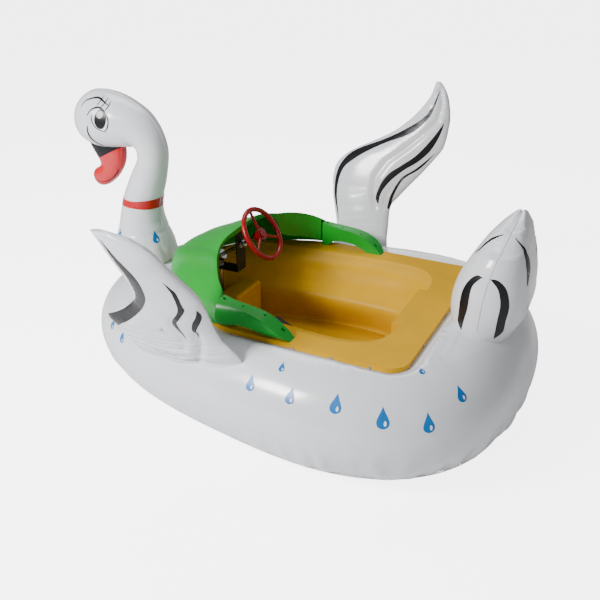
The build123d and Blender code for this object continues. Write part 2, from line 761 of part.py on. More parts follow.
def prop_guard():
    end = PROP_START + 2
    body = pipe((end, 0, POD_Z), (-1, 0, 0), GUARD_R + GUARD_WALL, GUARD_R, GUARD_LENGTH)
    for turn in (0, 90, 180, 270):
        strut = block(end - 6, end + 22, -SKEG_THICK / 2, SKEG_THICK / 2, POD_R - 2, GUARD_R + 1)
        body += Pos(0, 0, POD_Z) * (Rot(turn, 0, 0) * strut)
    return body - rod((LEG_X + POD_STERN, 0, POD_Z), (1, 0, 0), POD_R, 50)


def skeg():
    start = LEG_X + POD_STERN + 42
    top = POD_Z - POD_R + 1
    low = POD_Z - POD_R - SKEG_DEPTH
    outline = Polyline((start, top), (start + 50, top), (start + 34, low), (start + 8, low), close=True)
    fin = extrude(Plane.XZ.offset(-SKEG_THICK / 2) * make_face(outline), amount=SKEG_THICK)
    return fin - rod((LEG_X + POD_STERN, 0, POD_Z), (1, 0, 0), POD_R, POD_BOW - POD_STERN)


def battery():
    long, wide, high = BATTERY
    return block(BATTERY_X - long / 2, BATTERY_X + long / 2, -wide / 2, wide / 2, FLOOR_TOP, FLOOR_TOP + high)


def battery_posts():
    top = FLOOR_TOP + BATTERY[2]
    return [rod((BATTERY_X, side * 70, top), (0, 0, 1), POST_R, POST_HEIGHT) for side in (1, -1)]


def battery_strap():
    long, wide, high = BATTERY
    t = STRAP_THICK
    outer = block(BATTERY_X - long / 2 - t, BATTERY_X + long / 2 + t, -STRAP_WIDTH / 2, STRAP_WIDTH / 2,
                  FLOOR_TOP, FLOOR_TOP + high + t)
    return outer - battery()


def battery_cover():
    outer = block(COVER_STERN, COVER_BOW, -COVER_HALF, COVER_HALF, FLOOR_TOP, COVER_TOP)
    outer = fillet(outer.edges().filter_by(Axis.Z) + outer.edges().group_by(Axis.Z)[-1], 14)
    inner = block(COVER_STERN + COVER_WALL, COVER_BOW - COVER_WALL, -COVER_HALF + COVER_WALL,
                  COVER_HALF - COVER_WALL, FLOOR_TOP - 1, COVER_TOP - COVER_WALL)
    inner = fillet(inner.edges().filter_by(Axis.Z) + inner.edges().group_by(Axis.Z)[-1], 10)
    lip = block(COVER_STERN + 14, COVER_BOW - 20, -COVER_HALF - COVER_LIP, COVER_HALF + COVER_LIP,
                FLOOR_TOP, FLOOR_TOP + COVER_WALL)
    body = (outer + lip) - inner
    for place in cover_screw_places():
        body -= rod((place[0], place[1], FLOOR_TOP - 1), (0, 0, 1), COVER_SCREW_R + GAP, 10)
    return body


def cover_screw_places():
    return [(x, side * (COVER_HALF + 5)) for x in COVER_SCREW_X for side in (1, -1)]


def cover_screws():
    screws = []
    seat = FLOOR_TOP + COVER_WALL
    for x, y in cover_screw_places():
        shank = rod((x, y, FLOOR_TOP - 4), (0, 0, 1), COVER_SCREW_R, COVER_WALL + 4)
        screws.append(shank + rod((x, y, seat), (0, 0, 1), 2 * COVER_SCREW_R, 2.5))
    return screws


def controller():
    long, wide, high = CONTROLLER
    stern = BATTERY_X - long / 2
    seat = FLOOR_TOP + BATTERY[2] + STRAP_THICK
    body = block(stern, stern + long, -wide / 2, wide / 2, seat, seat + high)
    return fillet(body.edges().filter_by(Axis.Z), 6)


PEDAL_SLOPE = Vector(math.cos(math.radians(PEDAL_ANGLE)), 0, math.sin(math.radians(PEDAL_ANGLE)))


def pedal():
    hinge = Vector(PEDAL_X, 0, PEDAL_PIN_Z)
    plane = Plane(origin=hinge, x_dir=PEDAL_SLOPE, z_dir=(-PEDAL_SLOPE.Z, 0, PEDAL_SLOPE.X))
    plate = plane * (Pos(PEDAL_LENGTH / 2, 0, 8) * Box(PEDAL_LENGTH, 2 * PEDAL_HALF, PEDAL_THICK))
    for i in range(5):
        plate += plane * (Pos(20 + i * 18, 0, 8 + PEDAL_THICK / 2 + 0.9) * Box(5, 2 * PEDAL_HALF - 10, 2))
    barrel = rod((PEDAL_X, -PEDAL_HALF, PEDAL_PIN_Z), (0, 1, 0), PEDAL_PIN_R + 4, 2 * PEDAL_HALF)
    return plate + barrel - rod((PEDAL_X, -60, PEDAL_PIN_Z), (0, 1, 0), PEDAL_PIN_R + RUN_GAP, 120)


def pedal_base():
    body = block(PEDAL_X - 14, PEDAL_X + PEDAL_LENGTH - 10, -PEDAL_HALF - 9, PEDAL_HALF + 9,
                 FLOOR_TOP, FLOOR_TOP + PEDAL_BASE)
    for side in (1, -1):
        ear_y = side * (PEDAL_HALF + 4.5)
        ear = block(PEDAL_X - 10, PEDAL_X + 10, ear_y - 4, ear_y + 4, FLOOR_TOP + PEDAL_BASE, PEDAL_PIN_Z + 9)
        body += ear
    return body - rod((PEDAL_X, -60, PEDAL_PIN_Z), (0, 1, 0), PEDAL_PIN_R, 120)


def pedal_pin():
    half = PEDAL_HALF + 10
    return rod((PEDAL_X, -half, PEDAL_PIN_Z), (0, 1, 0), PEDAL_PIN_R, 2 * half)


def pedal_underside(x):
    """Height of the pedal plate's lower face above a place along the boat."""
    along = (x - PEDAL_X) / PEDAL_SLOPE.X
    return PEDAL_PIN_Z + along * PEDAL_SLOPE.Z + (8 - PEDAL_THICK / 2) / PEDAL_SLOPE.X


def pedal_spring():
    start = FLOOR_TOP + PEDAL_BASE + SPRING_WIRE
    reach = pedal_underside(SPRING_X - SPRING_R) - SPRING_WIRE - 0.6 - start
    path = Helix(pitch=reach / 5, height=reach, radius=SPRING_R - SPRING_WIRE)
    section = Plane(origin=path @ 0, z_dir=path % 0) * Circle(SPRING_WIRE)
    return Pos(SPRING_X, 0, start) * sweep(section, path=path, is_frenet=True)


def pedal_switch():
    base = FLOOR_TOP + PEDAL_BASE
    body = block(SWITCH_X - 10, SWITCH_X + 10, -14, 14, base, base + 14)
    return body + rod((SWITCH_X, 0, base + 14), (0, 0, 1), 4, 5)


def drain_plug():
    stem = rod((DRAIN_X, 0, FLOOR_BOTTOM - 2), (0, 0, 1), DRAIN_R, FLOOR_THICK + 2)
    head = rod((DRAIN_X, 0, FLOOR_TOP), (0, 0, 1), DRAIN_HEAD_R, DRAIN_HEAD)
    grip = block(DRAIN_X - 14, DRAIN_X + 14, -2.5, 2.5, FLOOR_TOP + DRAIN_HEAD, FLOOR_TOP + DRAIN_HEAD + 7)
    return stem + head + grip


def valve_places():
    """Where each air chamber has its valve, and the way the valve points."""
    x, y = ring_centre(236)
    x1, y1 = ring_centre(236.2)
    x0, y0 = ring_centre(235.8)
    along = Vector(x1 - x0, y1 - y0, 0).normalized()
    out = along.cross(Vector(0, 0, 1))
    across, high = tube_radii(x)
    hull = Vector(x, y, high - TUBE_SINK) + out * across
    lean_p = math.radians(PORT_LEAN)
    lean_s = math.radians(STARBOARD_LEAN)
    port_out = Vector(0, math.cos(lean_p), -math.sin(lean_p))
    starboard_out = Vector(0, -math.cos(lean_s), -math.sin(lean_s))
    port = Vector(200, WING_FOOT_Y + 170 * math.sin(lean_p), WING_FOOT_Z + 170 * math.cos(lean_p))
    port += port_out * WING_THICK
    starboard = Vector(20, -WING_FOOT_Y - 219 * math.sin(lean_s), WING_FOOT_Z + 219 * math.cos(lean_s))
    starboard += starboard_out * WING_THICK
    return {
        "hull": (hull, out),
        "neck": (Vector(803 + 121, 0, 525), Vector(0.97, 0, 0.24).normalized()),
        "tail": (Vector(-773 - 129, 60, 560), Vector(-0.977, 0.213, 0)),
        "port": (port, port_out),
        "starboard": (starboard, starboard_out),
    }


def valve(name, room=0.0):
    place, out = valve_places()[name]
    start = place - out * (VALVE_LENGTH - 4 + room)
    return rod(start, out, VALVE_R + room, VALVE_LENGTH + room)


def valve_cap(name):
    place, out = valve_places()[name]
    return rod(place + out * 4, out, VALVE_CAP_R, VALVE_CAP)


def main():
    hull = hull_ring()
    head = neck() - hull
    bill = beak() - neck()
    plume = tail() - hull
    port = wing(1, PORT_LEAN, PORT_STATIONS) - hull
    starboard = wing(-1, STARBOARD_LEAN, STARBOARD_STATIONS) - hull
    save("hull_tube", hull - valve("hull", GAP))
    save("swan_neck", head - valve("neck", GAP))
    save("beak", bill)
    save("tail_plume", plume - valve("tail", GAP))
    save("port_wing", port - valve("port", GAP))
    save("starboard_wing", starboard - valve("starboard", GAP))
    save("air_valves", Compound(children=[valve(name) for name in valve_places()]))
    save("valve_caps", Compound(children=[valve_cap(name) for name in valve_places()]))

    shell = tub_shell()
    for hole in tub_holes():
        shell -= hole
    save("tub", shell)
    save("rim_screws", Compound(children=rim_screws()))
    save("steering_console", console())
    save("console_screws", Compound(children=console_screws()))

    save("steering_wheel", wheel())
    save("wheel_cap", rod(WHEEL, AXIS, CAP_R, CAP_DEPTH))
    save("wheel_shaft", wheel_shaft())
    save("shaft_bush", shaft_bush())
    save("shaft_collar", shaft_collar())
    save("steering_bracket", bracket())
    save("wheel_gear", bevel_gear(AXIS, WHEEL_SHAFT_R, 0.25))
    save("leg_gear", bevel_gear(DOWN, SPIGOT_R, 0.25))
    save("leg_top_bush", leg_top_bush())
    save("leg_shaft", leg_shaft())
    save("leg_housing", leg_housing())
    save("housing_bolts", Compound(children=housing_bolts()))
    save("leg_bushes", Compound(children=leg_bushes()))
    save("leg_seal", leg_seal())
    save("motor_pod", motor_pod())
    save("pod_nose", pod_nose())
    save("prop_guard", prop_guard())
    save("skeg", skeg())
    save("propeller", propeller())
    save("prop_shaft", prop_shaft())
    save("prop_nut", prop_nut())

    save("battery", battery())
    save("battery_posts", Compound(children=battery_posts()))
    save("battery_strap", battery_strap())
    save("battery_cover", battery_cover())
    save("cover_screws", Compound(children=cover_screws()))
    save("motor_controller", controller())
    save("foot_pedal", pedal())
    save("pedal_base", pedal_base())
    save("pedal_pin", pedal_pin())
    save("pedal_spring", pedal_spring())
    save("pedal_switch", pedal_switch())
    save("drain_plug", drain_plug())


main()
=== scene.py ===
import json
import math

import bmesh
import bpy
import numpy as np
from mathutils import Matrix, Vector, noise
from mathutils.bvhtree import BVHTree


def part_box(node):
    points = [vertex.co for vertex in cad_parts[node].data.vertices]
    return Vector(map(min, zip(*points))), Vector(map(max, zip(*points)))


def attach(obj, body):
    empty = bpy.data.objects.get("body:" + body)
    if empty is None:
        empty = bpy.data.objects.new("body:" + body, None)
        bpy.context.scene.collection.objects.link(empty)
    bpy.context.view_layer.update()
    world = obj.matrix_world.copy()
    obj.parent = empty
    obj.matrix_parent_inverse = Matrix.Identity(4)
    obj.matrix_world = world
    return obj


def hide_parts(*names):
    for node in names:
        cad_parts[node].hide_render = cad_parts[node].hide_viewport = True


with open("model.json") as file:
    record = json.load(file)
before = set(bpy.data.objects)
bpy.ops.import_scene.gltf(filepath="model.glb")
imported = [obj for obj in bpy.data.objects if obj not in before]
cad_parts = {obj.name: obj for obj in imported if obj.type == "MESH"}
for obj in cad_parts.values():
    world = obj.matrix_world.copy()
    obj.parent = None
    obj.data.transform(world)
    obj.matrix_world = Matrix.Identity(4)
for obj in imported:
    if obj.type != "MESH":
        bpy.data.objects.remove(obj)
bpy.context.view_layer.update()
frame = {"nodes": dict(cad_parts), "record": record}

# Lengths in this file are millimetres about the middle of the ring hull.
# put() turns them into metres in the row frame. Light places and the floor are in metres already.
LEG_X = 405.0
leg_low, leg_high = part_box("leg_shaft")
HULL_X = (leg_low[0] + leg_high[0]) / 2 * 1000 - LEG_X


def put(points):
    """Millimetres about the hull's middle to metres in the row frame."""
    moved = np.array(points, dtype=float)
    moved[..., 0] += HULL_X
    return moved / 1000


# ---------------------------------------------------------------- camera and light

VIEW_FROM = put((-1228.1, 2476.2, 1724.8))
VIEW_RIGHT = Vector((-0.8932, -0.4497, 0.0021))
VIEW_UP = Vector((0.2009, -0.3948, 0.8965))
VIEW_ANGLE = 44.33

camera_data = bpy.data.cameras.new("camera")
camera_data.angle = math.radians(VIEW_ANGLE)
camera_data.clip_end = 50
camera = bpy.data.objects.new("camera", camera_data)
bpy.context.scene.collection.objects.link(camera)
back = VIEW_RIGHT.cross(VIEW_UP).normalized()
up = back.cross(VIEW_RIGHT).normalized()
turned = Matrix((VIEW_RIGHT.normalized(), up, back)).transposed().to_4x4()
camera.matrix_world = Matrix.Translation(VIEW_FROM) @ turned
bpy.context.scene.camera = camera


def area_light(name, place, target, size, power):
    data = bpy.data.lights.new(name, "AREA")
    data.shape = "RECTANGLE"
    data.size = size[0]
    data.size_y = size[1]
    data.energy = power
    light = bpy.data.objects.new(name, data)
    light.location = place
    way = Vector(target) - Vector(place)
    light.rotation_euler = way.to_track_quat("-Z", "Y").to_euler()
    bpy.context.scene.collection.objects.link(light)


# Each light: place, target, size across and along in metres, and power in watts.
area_light("key", (2.0, 3.5, 3.0), (0, 0, 0.4), (1.5, 1.1), 330)
area_light("fill", (-3.2, 2.6, 2.2), (0, 0, 0.4), (1.0, 2.2), 8)
area_light("top", (0.9, -1.4, 4.0), (0, 0, 0.3), (2.6, 1.4), 60)

SKY_ON_BOAT = 0.30
SKY_SEEN = 5.5
FLOOR_GLOW_ON_BOAT = 0.05
FLOOR_GLOW_SEEN = 4.5

world = bpy.data.worlds.new("studio")
bpy.context.scene.world = world
world.use_nodes = True
world_tree = world.node_tree
backdrop = world_tree.nodes["Background"]
backdrop.inputs["Color"].default_value = (1, 1, 1, 1)
# The studio looks white from the camera and lights the boat more softly than that.
seen = world_tree.nodes.new("ShaderNodeLightPath")
strength = world_tree.nodes.new("ShaderNodeMapRange")
strength.inputs["To Min"].default_value = SKY_ON_BOAT
strength.inputs["To Max"].default_value = SKY_SEEN
world_tree.links.new(seen.outputs["Is Camera Ray"], strength.inputs["Value"])
world_tree.links.new(strength.outputs["Result"], backdrop.inputs["Strength"])

# ---------------------------------------------------------------- materials


def material(name, color, rough, variation=0.05, bump=0.05, scale=30.0, coat=0.0, metal=0.0,
             sheen=0.0, gleam=0.5):
    """A procedural material: a base colour that varies softly, uneven gloss, and a fine bump."""
    mat = bpy.data.materials.new(name)
    mat.use_nodes = True
    tree = mat.node_tree
    shader = tree.nodes["Principled BSDF"]
    shader.inputs["Metallic"].default_value = metal
    shader.inputs["Specular IOR Level"].default_value = gleam
    shader.inputs["Coat Weight"].default_value = coat
    shader.inputs["Coat Roughness"].default_value = 0.12
    shader.inputs["Sheen Weight"].default_value = sheen
    place = tree.nodes.new("ShaderNodeTexCoord")
    broad = tree.nodes.new("ShaderNodeTexNoise")
    broad.inputs["Scale"].default_value = 5.0
    broad.inputs["Detail"].default_value = 6.0
    tree.links.new(place.outputs["Object"], broad.inputs["Vector"])
    ramp = tree.nodes.new("ShaderNodeValToRGB")
    dark = [max(c * (1 - variation * 1.6), 0) for c in color]
    ramp.color_ramp.elements[0].position = 0.32
    ramp.color_ramp.elements[0].color = (*dark, 1)
    ramp.color_ramp.elements[1].position = 0.62
    ramp.color_ramp.elements[1].color = (*color, 1)
    tree.links.new(broad.outputs["Fac"], ramp.inputs["Fac"])
    tree.links.new(ramp.outputs["Color"], shader.inputs["Base Color"])
    fine = tree.nodes.new("ShaderNodeTexNoise")
    fine.inputs["Scale"].default_value = scale
    fine.inputs["Detail"].default_value = 4.0
    tree.links.new(place.outputs["Object"], fine.inputs["Vector"])
    gloss = tree.nodes.new("ShaderNodeMapRange")
    gloss.inputs["To Min"].default_value = max(rough - 0.06, 0.03)
    gloss.inputs["To Max"].default_value = rough + 0.1
    tree.links.new(fine.outputs["Fac"], gloss.inputs["Value"])
    tree.links.new(gloss.outputs["Result"], shader.inputs["Roughness"])
    raised = tree.nodes.new("ShaderNodeBump")
    raised.inputs["Strength"].default_value = bump
    raised.inputs["Distance"].default_value = 0.004
    tree.links.new(fine.outputs["Fac"], raised.inputs["Height"])
    tree.links.new(raised.outputs["Normal"], shader.inputs["Normal"])
    return mat


WHITE = material("white_pvc", (0.76, 0.775, 0.81), 0.20, variation=0.02, bump=0.10, scale=9.0, coat=0.35)
SEAM = material("white_seam", (0.56, 0.57, 0.60), 0.30, variation=0.05, bump=0.10, scale=60.0)
RED_PVC = material("red_pvc", (0.62, 0.008, 0.012), 0.24, variation=0.06, bump=0.08, scale=10.0, coat=0.3)
BLACK_PRINT = material("black_print", (0.008, 0.008, 0.011), 0.30, variation=0.2, bump=0.05, scale=20.0,
                       gleam=0.3)
BLUE_PRINT = material("blue_print", (0.001, 0.17, 0.52), 0.28, variation=0.15, bump=0.05, scale=20.0)
RED_PRINT = material("red_print", (0.52, 0.004, 0.010), 0.26, variation=0.06, bump=0.05, scale=20.0)
WHITE_PRINT = material("white_print", (0.86, 0.88, 0.92), 0.3, variation=0.02, bump=0.03, scale=20.0)
GREY_PRINT = material("grey_print", (0.42, 0.42, 0.44), 0.35, variation=0.2, bump=0.03, scale=60.0)
YELLOW = material("yellow_tub", (0.64, 0.345, 0.001), 0.38, variation=0.07, bump=0.10, scale=55.0, gleam=0.15)
GREEN = material("green_cowl", (0.001, 0.31, 0.022), 0.30, variation=0.06, bump=0.06, scale=45.0, gleam=0.35)
RED = material("red_wheel", (0.30, 0.002, 0.003), 0.30, variation=0.08, bump=0.10, scale=70.0, gleam=0.4)
# Near-black steel for the steering bracket, which sits under the cowl.
DARK_STEEL = material("dark_steel", (0.016, 0.018, 0.018), 0.5, variation=0.15, bump=0.2, scale=150.0,
                   gleam=0.3)
BLACK = material("black_plastic", (0.022, 0.022, 0.025), 0.45, variation=0.15, bump=0.25, scale=160.0)
NYLON = material("nylon", (0.72, 0.71, 0.67), 0.42, variation=0.05, bump=0.10, scale=90.0)
STEEL = material("steel", (0.56, 0.57, 0.59), 0.28, variation=0.08, bump=0.12, scale=180.0, metal=1.0)
ALUMINIUM = material("aluminium", (0.68, 0.69, 0.71), 0.32, variation=0.06, bump=0.12, scale=140.0, metal=1.0)
BRASS = material("brass", (0.72, 0.50, 0.20), 0.30, variation=0.10, bump=0.10, scale=150.0, metal=1.0)
RUBBER = material("rubber", (0.018, 0.018, 0.018), 0.62, variation=0.15, bump=0.25, scale=200.0)
WEBBING = material("webbing", (0.03, 0.03, 0.035), 0.75, variation=0.15, bump=0.6, scale=420.0, sheen=0.3)
FLOOR = material("floor", (0.90, 0.90, 0.91), 0.80, variation=0.01, bump=0.02, scale=6.0, gleam=0.1)
floor_tree = FLOOR.node_tree
floor_shader = floor_tree.nodes["Principled BSDF"]
floor_shader.inputs["Emission Color"].default_value = (1, 1, 1, 1)
floor_seen = floor_tree.nodes.new("ShaderNodeLightPath")
floor_glow = floor_tree.nodes.new("ShaderNodeMapRange")
floor_glow.inputs["To Min"].default_value = FLOOR_GLOW_ON_BOAT
floor_glow.inputs["To Max"].default_value = FLOOR_GLOW_SEEN
floor_tree.links.new(floor_seen.outputs["Is Camera Ray"], floor_glow.inputs["Value"])
floor_tree.links.new(floor_glow.outputs["Result"], floor_shader.inputs["Emission Strength"])

CAD_FINISH = {
    "yellow_plastic": YELLOW, "green_plastic": GREEN, "red_plastic": RED, "black_plastic": BLACK,
    "nylon": NYLON, "steel": STEEL, "aluminium": ALUMINIUM, "brass": BRASS, "black_rubber": RUBBER,
    "webbing": WEBBING, "white_pvc": WHITE, "red_pvc": RED_PVC,
}
for part in frame["record"]["subparts"]:
    node = frame["nodes"][part["node"]]
    node.data.materials.clear()
    # The steering bracket under the cowl gets the near-black steel instead of the finish its part record
    # gives.
    dark_bracket = part["node"] == "steering_bracket"
    node.data.materials.append(DARK_STEEL if dark_bracket else CAD_FINISH[part["material_slot"]])

# ---------------------------------------------------------------- mesh helpers


def new_piece(name, points, faces, mat, body="hull"):
    mesh = bpy.data.meshes.new(name)
    mesh.from_pydata([tuple(p) for p in points], [], faces)
    mesh.validate()
    obj = bpy.data.objects.new(name, mesh)
    bpy.context.scene.collection.objects.link(obj)
    mesh.materials.append(mat)
    work = bmesh.new()
    work.from_mesh(mesh)
    bmesh.ops.recalc_face_normals(work, faces=work.faces)
    work.to_mesh(mesh)
    work.free()
    mesh.shade_smooth()
    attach(obj, body)
    return obj


def grid_faces(rows, columns, close_rows=False, cap=False):
    """Quads over rows of points, where each row closes on itself."""
    faces = []
    for i in range(rows if close_rows else rows - 1):
        for j in range(columns):
            a = i * columns + j
            b = i * columns + (j + 1) % columns
            k = (i + 1) % rows
            faces.append((a, b, k * columns + (j + 1) % columns, k * columns + j))
    if cap:
        faces.append(tuple(reversed(range(columns))))
        faces.append(tuple((rows - 1) * columns + j for j in range(columns)))
    return faces


def smooth_table(table, steps):
    """Catmull-Rom through the rows of a table, at even steps of row number."""
    rows = np.array(table, dtype=float)
    padded = np.vstack([2 * rows[0] - rows[1], rows, 2 * rows[-1] - rows[-2]])
    out = []
    for t in np.linspace(0, len(rows) - 1, steps):
        i = min(int(t), len(rows) - 2)
        f = t - i
        p0, p1, p2, p3 = padded[i:i + 4]
        out.append(0.5 * (2 * p1 + (p2 - p0) * f + (2 * p0 - 5 * p1 + 4 * p2 - p3) * f ** 2
                          + (3 * p1 - p0 - 3 * p2 + p3) * f ** 3))
    return np.array(out)


def wave(x, y, z):
    """Smooth noise between about -1 and 1, the same on each run."""
    return noise.noise(Vector((x, y, z)))


def crease(value, sharp=2.2):
    """Noise to folds: rounded crests with sharp valleys between them."""
    return 1 - min(abs(value) * sharp, 1)


def to_line(points, line):
    """Distance of 2-D points to an open polyline."""
    p = np.asarray(points, dtype=float)
    best = np.full(p.shape[:-1], 1e9)
    for a, b in zip(line[:-1], line[1:]):
        a = np.array(a, dtype=float)
        b = np.array(b, dtype=float)
        along = b - a
        t = np.clip(((p - a) @ along) / (along @ along), 0, 1)
        away = p - (a + t[..., None] * along)
        best = np.minimum(best, np.sqrt((away ** 2).sum(-1)))
    return best


def seam_cord(name, points, radius, closed=False):
    """A welded edge: a thin grey bead that follows a line of points."""
    curve = bpy.data.curves.new(name, "CURVE")
    curve.dimensions = "3D"
    spline = curve.splines.new("POLY")
    spline.points.add(len(points) - 1)
    for target, p in zip(spline.points, put(points)):
        target.co = (*p, 1)
    spline.use_cyclic_u = closed
    curve.bevel_depth = radius / 1000
    curve.bevel_resolution = 2
    obj = bpy.data.objects.new(name, curve)
    bpy.context.scene.collection.objects.link(obj)
    graph = bpy.context.evaluated_depsgraph_get()
    mesh = bpy.data.meshes.new_from_object(obj.evaluated_get(graph))
    bpy.data.objects.remove(obj)
    solid = bpy.data.objects.new(name, mesh)
    bpy.context.scene.collection.objects.link(solid)
    mesh.materials.clear()
    mesh.materials.append(SEAM)
    mesh.shade_smooth()
    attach(solid, "hull")


# ---------------------------------------------------------------- ring hull

RING = (711.1, 440.9, 2.764, 0.25)
TUBE_RADIUS = 227.5
TUBE_BOW_LOSS = 13.4
TUBE_FLATNESS = 0.975
TUBE_SINK = 4.0
RIM_CORNERS = [(-602, 476, 75), (80, 476, 190), (400, 372, 190), (545, 150, 190)]
LIP_Z = 418.0


def rounded(corners, steps=12):
    """A polygon with rounded corners, as a closed list of points."""
    out = []
    count = len(corners)
    for i, (x, y, radius) in enumerate(corners):
        here = Vector((x, y))
        before = Vector(corners[i - 1][:2]) - here
        after = Vector(corners[(i + 1) % count][:2]) - here
        half = before.angle(after) / 2
        reach = min(radius / math.tan(half), 0.48 * before.length, 0.48 * after.length)
        a = here + before.normalized() * reach
        b = here + after.normalized() * reach
        for k in range(steps + 1):
            t = k / steps
            out.append((1 - t) ** 2 * a + 2 * t * (1 - t) * here + t ** 2 * b)
    return [(p.x, p.y) for p in out]


rim_corners = RIM_CORNERS + [(x, -y, r) for x, y, r in reversed(RIM_CORNERS)]
rim_line = rounded(rim_corners)
rim_closed = rim_line + [rim_line[0]]


def inside(points, polygon):
    p = np.asarray(points)
    hit = np.zeros(p.shape[:-1], dtype=bool)
    for (x0, y0), (x1, y1) in zip(polygon, polygon[1:] + polygon[:1]):
        crosses = (y0 > p[..., 1]) != (y1 > p[..., 1])
        span = (y1 - y0) if y1 != y0 else 1e-9
        where = x0 + (p[..., 1] - y0) * (x1 - x0) / span
        hit ^= crosses & (p[..., 0] < where)
    return hit


def ring_point(angle):
    a, b, power, taper = RING
    c, s = math.cos(angle), math.sin(angle)
    reach = (abs(c) ** power + abs(s) ** power) ** (-1 / power)
    return Vector((a * c * reach, b * s * reach * (1 - taper * c * reach), 0))


HULL_AROUND = 480
HULL_SECTION = 132
# Folds at the tube's low seam: their height on the section, their spread, and their depths in mm.
FOLD_HEIGHT = -0.46
FOLD_SPREAD = 0.30
FOLD_DEEP = 8.5
FOLD_FINE = 2.6
# The tube's top rolls down under the flange over this width, and falls by this much.
ROLL_WIDTH = 45.0
ROLL_FALL = 28.0


def hull_mesh():
    rows = []
    arc = 0.0
    before = ring_point(0)
    for i in range(HULL_AROUND):
        angle = 2 * math.pi * i / HULL_AROUND
        middle = ring_point(angle)
        arc += (middle - before).length
        before = middle
        along = (ring_point(angle + 0.002) - ring_point(angle - 0.002)).normalized()
        out = along.cross(Vector((0, 0, 1)))
        across = TUBE_RADIUS - TUBE_BOW_LOSS * middle.x / RING[0]
        high = across * TUBE_FLATNESS
        stern = 0.5 - 0.5 * math.tanh((middle.x + 250) / 200)
        row = []
        for j in range(HULL_SECTION):
            v = 2 * math.pi * j / HULL_SECTION
            nx, nz = math.cos(v), math.sin(v)
            # Folds run across the tube from the low welded seam, and fade out up the side.
            low = math.exp(-((nz - FOLD_HEIGHT) / FOLD_SPREAD) ** 2) if nx > 0 else 0
            fold = crease(wave(arc / 62, nz * 0.7, 3.1), 2.6) - 0.45
            small = crease(wave(arc / 24, nz * 1.3, 8.4), 2.4) - 0.5
            push = low * (FOLD_DEEP * fold + FOLD_FINE * small) * (0.30 + 0.95 * stern)
            # Puckers where the tube rolls in under the flange.
            top = math.exp(-((nz - 0.95) / 0.10) ** 2)
            push += top * 1.6 * (crease(wave(arc / 34, 0, 5.7), 2.5) - 0.5)
            push += 1.5 * wave(arc / 260, nx * 1.1, nz * 1.1 + 9)
            p = middle + out * ((across + push) * nx)
            p.z = high - TUBE_SINK + (high + push) * nz
            row.append((p.x, p.y, max(p.z, 0.4)))
        rows.append(row)
    grid = np.array(rows)
    flat = grid[..., :2]
    away = to_line(flat, rim_closed)
    away[inside(flat, rim_line)] *= -1
    bend = np.clip((away - 1.0) / ROLL_WIDTH, 0, 1)
    limit = (LIP_Z - 2) + ROLL_FALL * bend ** 1.4
    over = (away < ROLL_WIDTH) & (grid[..., 2] > 300)
    grid[..., 2] = np.where(over, np.minimum(grid[..., 2], limit), grid[..., 2])
    points = put(grid.reshape(-1, 3))
    faces = grid_faces(HULL_AROUND, HULL_SECTION, close_rows=True)
    return new_piece("hull_skin", points, faces, WHITE)


hull = hull_mesh()
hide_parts("hull_tube")


def hull_line(section_angle, proud, steps=240):
    """A closed line along the tube at one angle of its section."""
    line = []
    for k in range(steps):
        angle = 2 * math.pi * k / steps
        middle = ring_point(angle)
        along = (ring_point(angle + 0.002) - ring_point(angle - 0.002)).normalized()
        out = along.cross(Vector((0, 0, 1)))
        across = TUBE_RADIUS - TUBE_BOW_LOSS * middle.x / RING[0]
        high = across * TUBE_FLATNESS
        p = middle + out * ((across + proud) * math.cos(section_angle))
        p.z = high - TUBE_SINK + (high + proud) * math.sin(section_angle)
        line.append(tuple(p))
    return line


LOW_SEAM_ANGLE = -40.0
seam_cord("hull_seam_low", hull_line(math.radians(LOW_SEAM_ANGLE), 0.6), 2.2, closed=True)

# ---------------------------------------------------------------- neck and head

# Centre X, centre Z and radius, from the base to the brow.
NECK_PATH = [
    (788, 300, 60), (796, 365, 116), (803, 412, 144), (803, 456, 143), (803, 500, 131), (803, 548, 113),
    (802, 600, 99),
    (792, 673, 87), (773, 729, 81), (746, 790, 75), (724, 850, 68), (718, 905, 68), (738, 958, 73),
    (784, 996, 88), (846, 1012, 106), (912, 1019, 119), (976, 1021, 121), (1030, 1023, 104),
    (1062, 1025, 76), (1083, 1027, 40), (1089, 1027, 8),
]
NECK_ROUND = 96
NECK_SEAM_Z = 548


def neck_frames(steps=190):
    path = smooth_table(NECK_PATH, steps)
    tangent = np.gradient(path[:, :2], axis=0)
    tangent /= np.linalg.norm(tangent, axis=1)[:, None]
    return path, tangent


def neck_point(path, tangent, i, angle, proud=0.0):
    """Angle 0 is port, 90 the outside of the bend and 270 the throat."""
    x, z, radius = path[i]
    tx, tz = tangent[i]
    r = radius + proud
    across = math.cos(angle)
    outward = math.sin(angle)
    return (x - tz * outward * r, across * r, z + tx * outward * r)


def neck_mesh():
    path, tangent = neck_frames()
    rows = []
    for i in range(len(path)):
        x, z = path[i][:2]
        row = []
        for j in range(NECK_ROUND):
            angle = 2 * math.pi * j / NECK_ROUND
            outward = math.sin(angle)
            throat = max(-outward, 0) ** 3
            bend = math.exp(-((z - 905) / 75) ** 2) * (x < 800)
            push = -throat * bend * 7 * crease(wave(z / 20 + 1.3 * math.cos(angle), 2.2, 0), 3)
            base = math.exp(-((z - 470) / 40) ** 2)
            push += base * 4.5 * (crease(wave(angle * 4.2, z / 130, 4.4), 2.6) - 0.6)
            push -= 2.4 * math.exp(-((z - NECK_SEAM_Z) / 5) ** 2)
            push += 1.1 * wave(z / 90, math.cos(angle) * 1.4, math.sin(angle) * 1.4)
            row.append(neck_point(path, tangent, i, angle, push))
        rows.append(row)
    points = put(np.array(rows).reshape(-1, 3))
    faces = grid_faces(len(rows), NECK_ROUND, cap=True)
    return new_piece("neck_skin", points, faces, WHITE)


